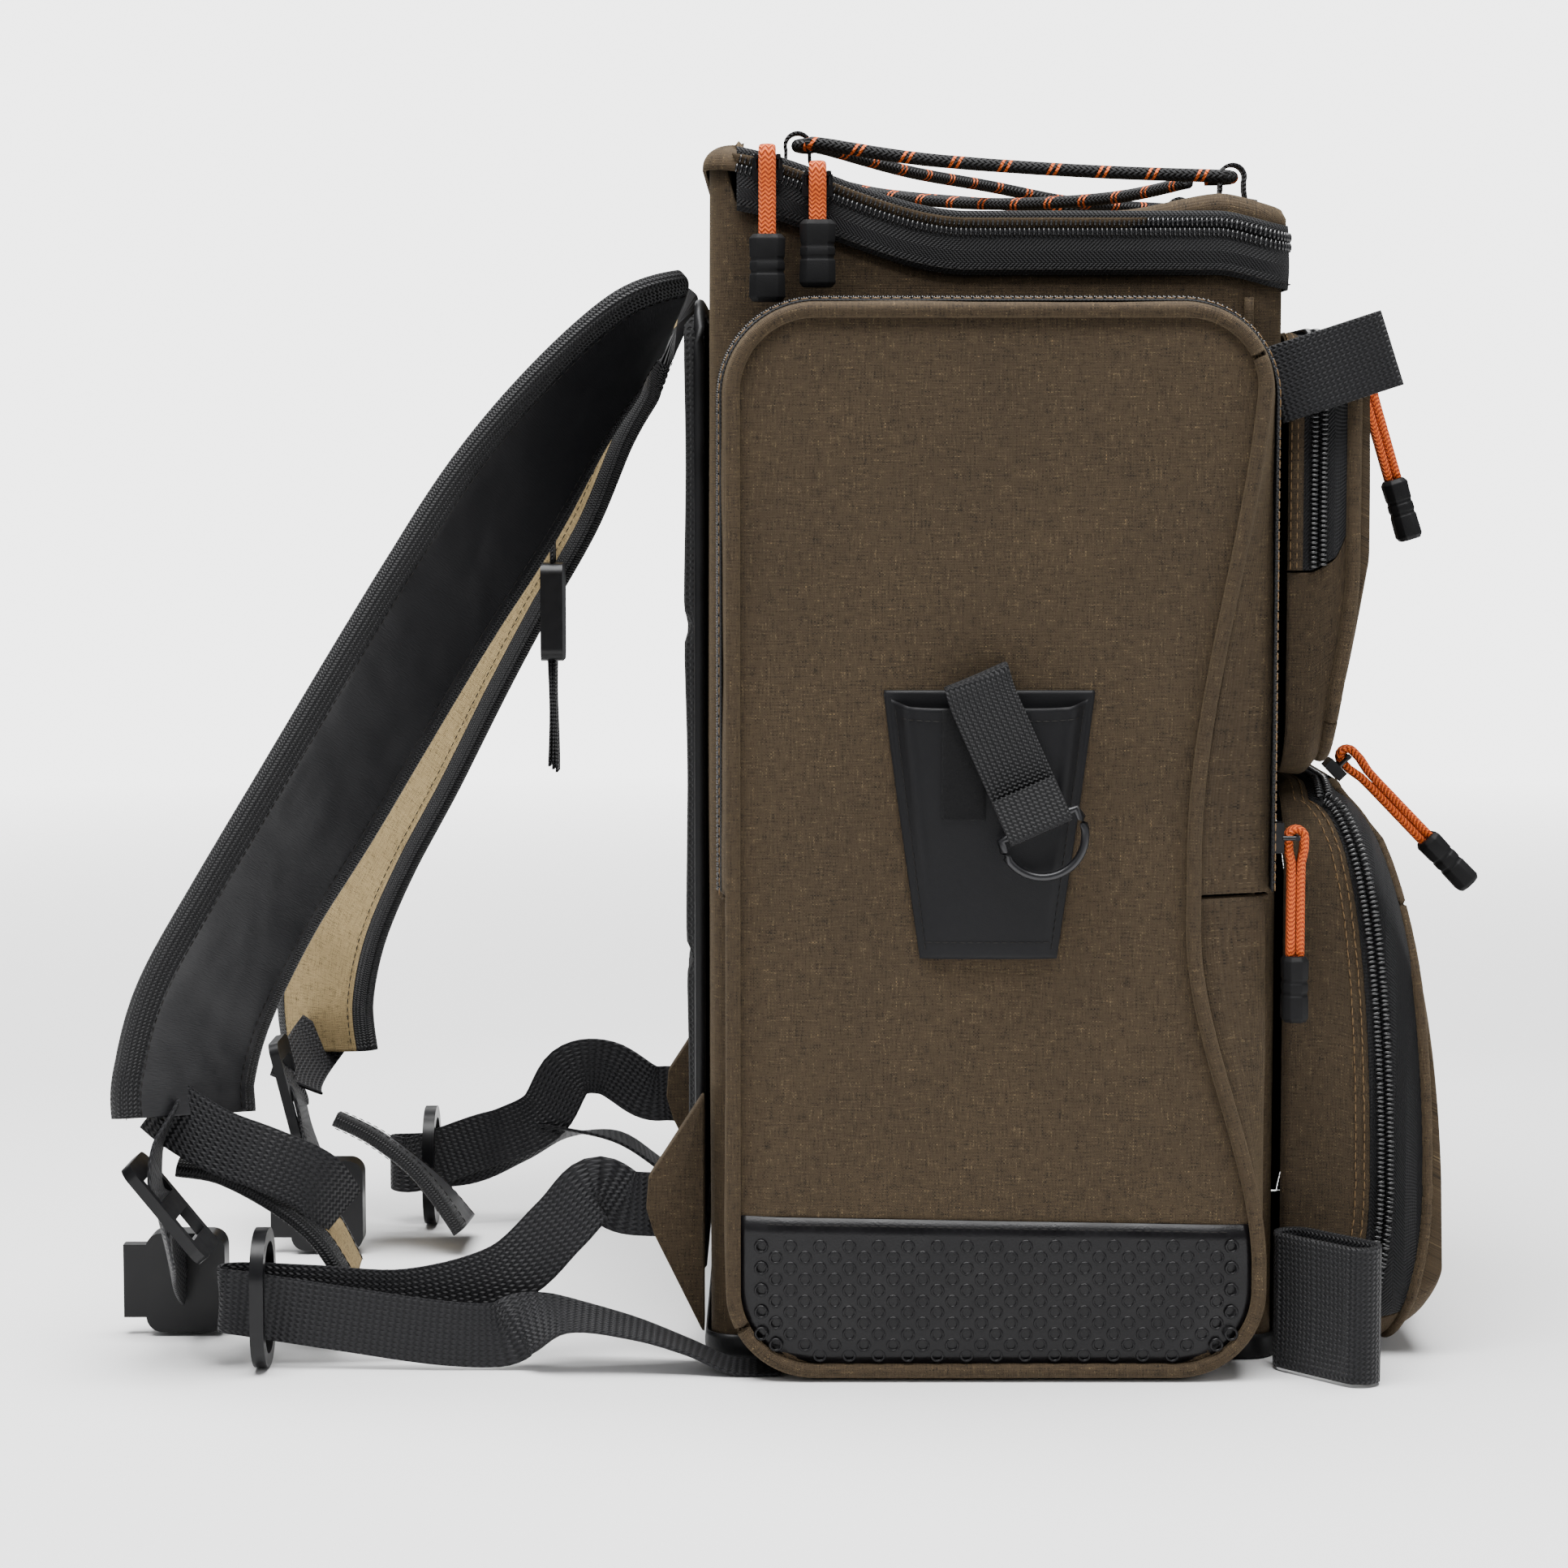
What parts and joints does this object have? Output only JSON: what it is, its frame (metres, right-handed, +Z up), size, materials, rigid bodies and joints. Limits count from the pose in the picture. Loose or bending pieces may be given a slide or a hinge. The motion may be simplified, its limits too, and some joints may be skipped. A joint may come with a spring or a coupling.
{
  "type": "tackle backpack",
  "caption": "Square brown canvas fishing backpack with zipped side and front pockets, pliers sheath, rod straps and padded shoulder straps.",
  "frame": {"origin": "centre of the flat base of the main compartment, on the floor", "axes": "+Z up, -Y the front with the two front pockets, +Y the back panel and shoulder straps, -X the wearer's left"},
  "size_m": [0.3451, 0.5126, 0.4515],
  "materials": {
    "canvas": "woven heather canvas",
    "base": "coated cloth",
    "board": "stiff sheet",
    "mesh": "padded spacer mesh",
    "tape": "herringbone zip tape with a nylon coil",
    "webbing": "ribbed webbing",
    "bungee": "braided elastic cord",
    "sheath": "coated grain cloth",
    "ring_metal": "dark wire",
    "plate": "smooth blank plate",
    "kick": "coated cloth embossed with rings",
    "slider": "black enamelled zinc",
    "pull_cord": "braided cord with a moulded black end",
    "pad": "satin over foam, bound edges",
    "pad_face": "woven cloth over foam, bound edges",
    "buckle": "moulded nylon"
  },
  "bodies": {
    "pack": {"main_shell": "canvas", "base_panel": "base", "base_board": "board", "back_panel": "mesh", "back_board": "board", "body_zip": "tape", "side_tray_L": "canvas", "side_tray_R": "canvas", "kick_L": "kick", "kick_R": "kick", "front_up_tray": "canvas", "front_low_tray": "canvas", "front_low_zip": "tape", "rod_loop_L": "webbing", "rod_loop_R": "webbing", "wing_L": "canvas", "wing_R": "canvas", "lower_web_L": "webbing", "lower_web_R": "webbing"},
    "lid": {"lid_panel": "canvas", "lid_zip": "tape", "lid_loops": "webbing", "bungee": "bungee"},
    "lid_slider_a": {"lid_slider_a": "slider"},
    "lid_pull_a": {"lid_pull_a": "pull_cord"},
    "lid_slider_b": {"lid_slider_b": "slider"},
    "lid_pull_b": {"lid_pull_b": "pull_cord"},
    "side_flap_L": {"side_flap_L": "canvas", "sheath": "sheath"},
    "side_slider_L": {"side_slider_L": "slider"},
    "side_pull_L": {"side_pull_L": "pull_cord"},
    "side_flap_R": {"side_flap_R": "canvas"},
    "side_slider_R": {"side_slider_R": "slider"},
    "side_pull_R": {"side_pull_R": "pull_cord"},
    "sheath_strap": {"sheath_strap": "webbing"},
    "d_ring": {"d_ring": "ring_metal"},
    "front_up_flap": {"front_up_flap": "canvas"},
    "up_slider": {"up_slider": "slider"},
    "up_pull": {"up_pull": "pull_cord"},
    "front_low_flap": {"front_low_flap": "canvas", "front_low_flap_zip": "tape", "front_plate": "plate"},
    "low_slider": {"low_slider": "slider"},
    "low_pull": {"low_pull": "pull_cord"},
    "rod_strap_L": {"rod_strap_L": "webbing"},
    "rod_strap_R": {"rod_strap_R": "webbing"},
    "strap_L": {"strap_pad_L": "pad", "strap_tab_L": "pad_face", "adjuster_L": "buckle", "buckle_L": "buckle", "ring_L": "buckle", "sternum_web_L": "webbing", "sternum_buckle_L": "buckle"},
    "strap_R": {"strap_pad_R": "pad", "strap_tab_R": "pad_face", "adjuster_R": "buckle", "buckle_R": "buckle", "ring_R": "buckle"},
    "chest_R": {"sternum_web_R": "webbing", "sternum_buckle_R": "buckle"}
  },
  "joints": [
    {"name": "lid_fold", "type": "hinge", "parent": "pack", "child": "lid", "pos_m": [0, 0.095, 0.44013], "axis": [-1, 0, 0], "range_deg": [0, 100]},
    {"name": "lid_slide_a", "type": "slide", "parent": "pack", "child": "lid_slider_a", "axis": [0, 0.9708, 0.2397], "range_m": [0, 0.006]},
    {"name": "lid_slide_b", "type": "slide", "parent": "pack", "child": "lid_slider_b", "axis": [0, -0.9946, -0.1038], "range_m": [0, 0.141]},
    {"name": "lid_pull_swing_a", "type": "hinge", "parent": "lid_slider_a", "child": "lid_pull_a", "pos_m": [-0.1377, 0.083, 0.43953], "axis": [0, 1, 0], "range_deg": [0, 110]},
    {"name": "lid_pull_swing_b", "type": "hinge", "parent": "lid_slider_b", "child": "lid_pull_b", "pos_m": [-0.1377, 0.065, 0.43361], "axis": [0, 1, 0], "range_deg": [0, 110]},
    {"name": "side_fold_L", "type": "hinge", "parent": "pack", "child": "side_flap_L", "pos_m": [-0.16, 0, 0.15], "axis": [0, -1, 0], "range_deg": [0, 85]},
    {"name": "side_slide_L", "type": "slide", "parent": "pack", "child": "side_slider_L", "axis": [0, 0, 1], "range_m": [0, 0.124]},
    {"name": "side_pull_swing_L", "type": "hinge", "parent": "side_slider_L", "child": "side_pull_L", "pos_m": [-0.145, -0.1077, 0.196], "axis": [-1, 0, 0], "range_deg": [0, 100]},
    {"name": "side_fold_R", "type": "hinge", "parent": "pack", "child": "side_flap_R", "pos_m": [0.16, 0, 0.15], "axis": [0, 1, 0], "range_deg": [0, 85]},
    {"name": "side_slide_R", "type": "slide", "parent": "pack", "child": "side_slider_R", "axis": [0, 0, 1], "range_m": [0, 0.124]},
    {"name": "side_pull_swing_R", "type": "hinge", "parent": "side_slider_R", "child": "side_pull_R", "pos_m": [0.145, -0.1077, 0.196], "axis": [-1, 0, 0], "range_deg": [0, 100]},
    {"name": "sheath_strap_lift", "type": "hinge", "parent": "side_flap_L", "child": "sheath_strap", "pos_m": [-0.1604, 0.009, 0.254], "axis": [0, 1, 0], "range_deg": [0, 50]},
    {"name": "d_ring_swing", "type": "hinge", "parent": "sheath_strap", "child": "d_ring", "pos_m": [-0.1716, -0.01296, 0.20307], "axis": [0, 0.9135, -0.4067], "range_deg": [0, 110]},
    {"name": "front_up_fold", "type": "hinge", "parent": "pack", "child": "front_up_flap", "pos_m": [0, -0.1346, 0.292], "axis": [1, 0, 0], "range_deg": [0, 85]},
    {"name": "up_slide", "type": "slide", "parent": "front_up_flap", "child": "up_slider", "axis": [1, 0, 0], "range_m": [-0.055, 0.135]},
    {"name": "up_pull_swing", "type": "hinge", "parent": "up_slider", "child": "up_pull", "pos_m": [-0.04, -0.1453, 0.365], "axis": [-1, 0, 0], "range_deg": [0, 100]},
    {"name": "front_low_fold", "type": "hinge", "parent": "pack", "child": "front_low_flap", "pos_m": [0, -0.1606, 0.014], "axis": [1, 0, 0], "range_deg": [0, 85]},
    {"name": "low_slide", "type": "slide", "parent": "front_low_flap", "child": "low_slider", "axis": [1, 0, 0], "range_m": [0, 0.17]},
    {"name": "low_pull_swing", "type": "hinge", "parent": "low_slider", "child": "low_pull", "pos_m": [-0.085, -0.1347, 0.22043], "axis": [-1, 0, 0], "range_deg": [0, 100]},
    {"name": "rod_strap_swing_L", "type": "hinge", "parent": "pack", "child": "rod_strap_L", "pos_m": [-0.134, -0.099, 0.358], "axis": [0, 0, -1], "range_deg": [0, 80]},
    {"name": "rod_strap_swing_R", "type": "hinge", "parent": "pack", "child": "rod_strap_R", "pos_m": [0.134, -0.099, 0.358], "axis": [0, 0, 1], "range_deg": [0, 80]},
    {"name": "strap_swing_L", "type": "hinge", "parent": "pack", "child": "strap_L", "pos_m": [-0.058, 0.114, 0.3895], "axis": [1, 0, 0], "range_deg": [0, 35]},
    {"name": "strap_swing_R", "type": "hinge", "parent": "pack", "child": "strap_R", "pos_m": [0.058, 0.114, 0.3895], "axis": [1, 0, 0], "range_deg": [0, 35]},
    {"name": "chest_swing_R", "type": "hinge", "parent": "strap_R", "child": "chest_R", "pos_m": [0.055, 0.172, 0.305], "axis": [1, 0, 0], "range_deg": [-25, 25]}
  ],
  "couplings": [
    {"joint": "lid_pull_swing_b", "follows": "lid_slide_b", "rad_per_m": 8.5}
  ]
}
